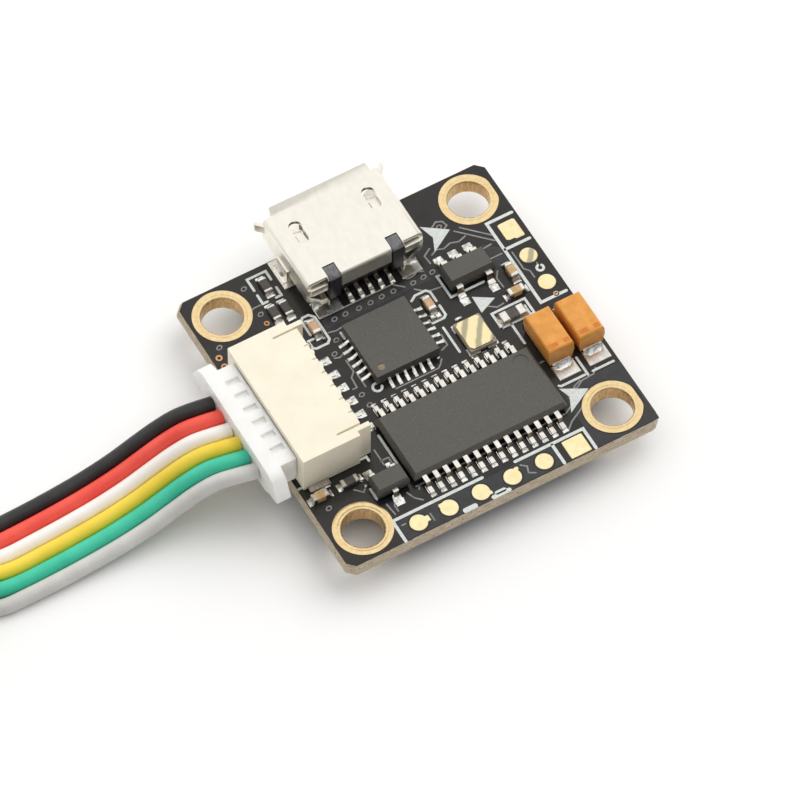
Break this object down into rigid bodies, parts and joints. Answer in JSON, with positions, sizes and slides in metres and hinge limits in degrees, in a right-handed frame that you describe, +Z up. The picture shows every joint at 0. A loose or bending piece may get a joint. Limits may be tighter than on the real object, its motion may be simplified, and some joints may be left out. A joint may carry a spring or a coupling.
{
  "type": "flight controller board",
  "caption": "Small square drone control board with a USB socket on one edge, chips on both faces, a plated mounting hole in each corner and a plug-in wire harness.",
  "frame": {"origin": "centre of the square of mounting holes, on the plane the board rests on, which is the flat lower face of the processor package", "axes": "+Z up out of the component face, +Y out of the USB mouth, -X the way the harness plug pulls out"},
  "size_m": [0.0533, 0.0248, 0.0055],
  "materials": {
    "solder_mask": "near-black glossy solder mask over a tan glass-epoxy laminate that shows at the snapped edges",
    "gold_plating": "thin bright gold over nickel, slightly pebbled",
    "nickel_steel": "bright satin nickel-plated sheet steel",
    "tin_leads": "satin tin plating",
    "black_moulding": "black glass-filled nylon, slightly rough",
    "ivory_moulding": "warm ivory heat-resistant nylon",
    "white_nylon": "milky, slightly see-through white nylon",
    "chip_epoxy": "dark grey moulded epoxy, fine matte grain",
    "white_ceramic": "pale unglazed ceramic",
    "capacitor_body": "tan-brown fired ceramic with tinned ends",
    "resistor_body": "black glazed film on ceramic with tinned ends",
    "orange_epoxy": "orange moulded epoxy with a darker polarity band",
    "wire_black": "soft matte silicone",
    "wire_red": "soft matte silicone",
    "wire_white": "soft matte silicone",
    "wire_yellow": "soft matte silicone",
    "wire_green": "soft matte silicone",
    "wire_grey": "soft matte silicone",
    "coiled_wires": "the six silicone wires wound together",
    "tie_plastic": "black nylon band"
  },
  "bodies": {
    "board": {"circuit_board": "solder_mask", "hole_plating_rear_left": "gold_plating", "hole_plating_rear_right": "gold_plating", "hole_plating_front_right": "gold_plating", "hole_plating_front_left": "gold_plating", "usb_shell": "nickel_steel", "usb_insulator": "black_moulding", "usb_contact_1": "gold_plating", "usb_contact_2": "gold_plating", "usb_contact_3": "gold_plating", "usb_contact_4": "gold_plating", "usb_contact_5": "gold_plating", "socket_housing": "ivory_moulding", "socket_pin_1": "tin_leads", "socket_pin_2": "tin_leads", "socket_pin_3": "tin_leads", "socket_pin_4": "tin_leads", "socket_pin_5": "tin_leads", "socket_pin_6": "tin_leads", "socket_anchor_left": "tin_leads", "socket_anchor_right": "tin_leads", "overlay_chip_body": "chip_epoxy", "overlay_chip_leads": "tin_leads", "gyroscope_body": "chip_epoxy", "gyroscope_pads": "gold_plating", "regulator_body": "chip_epoxy", "regulator_leads": "tin_leads", "transistor_body": "chip_epoxy", "transistor_leads": "tin_leads", "processor_body": "chip_epoxy", "processor_leads": "tin_leads", "crystal_base": "white_ceramic", "crystal_lid": "gold_plating", "tantalum_case_1": "orange_epoxy", "tantalum_element_1": "tin_leads", "tantalum_case_2": "orange_epoxy", "tantalum_element_2": "tin_leads", "chip_capacitor_1": "capacitor_body", "chip_capacitor_2": "capacitor_body", "chip_capacitor_3": "capacitor_body", "chip_capacitor_4": "capacitor_body", "chip_capacitor_5": "capacitor_body", "chip_resistor_1": "resistor_body", "chip_resistor_2": "resistor_body", "chip_resistor_3": "resistor_body"},
    "harness": {"plug_housing": "white_nylon", "crimp_contact_1": "gold_plating", "crimp_contact_2": "gold_plating", "crimp_contact_3": "gold_plating", "crimp_contact_4": "gold_plating", "crimp_contact_5": "gold_plating", "crimp_contact_6": "gold_plating", "wire_black": "wire_black", "wire_red": "wire_red", "wire_white": "wire_white", "wire_yellow": "wire_yellow", "wire_green": "wire_green", "wire_grey": "wire_grey", "wire_coil": "coiled_wires", "coil_tie": "tie_plastic"}
  },
  "joints": [
    {"name": "plug_slide", "type": "slide", "parent": "board", "child": "harness", "axis": [-1, 0, 0], "range_m": [0, 0.003]}
  ]
}
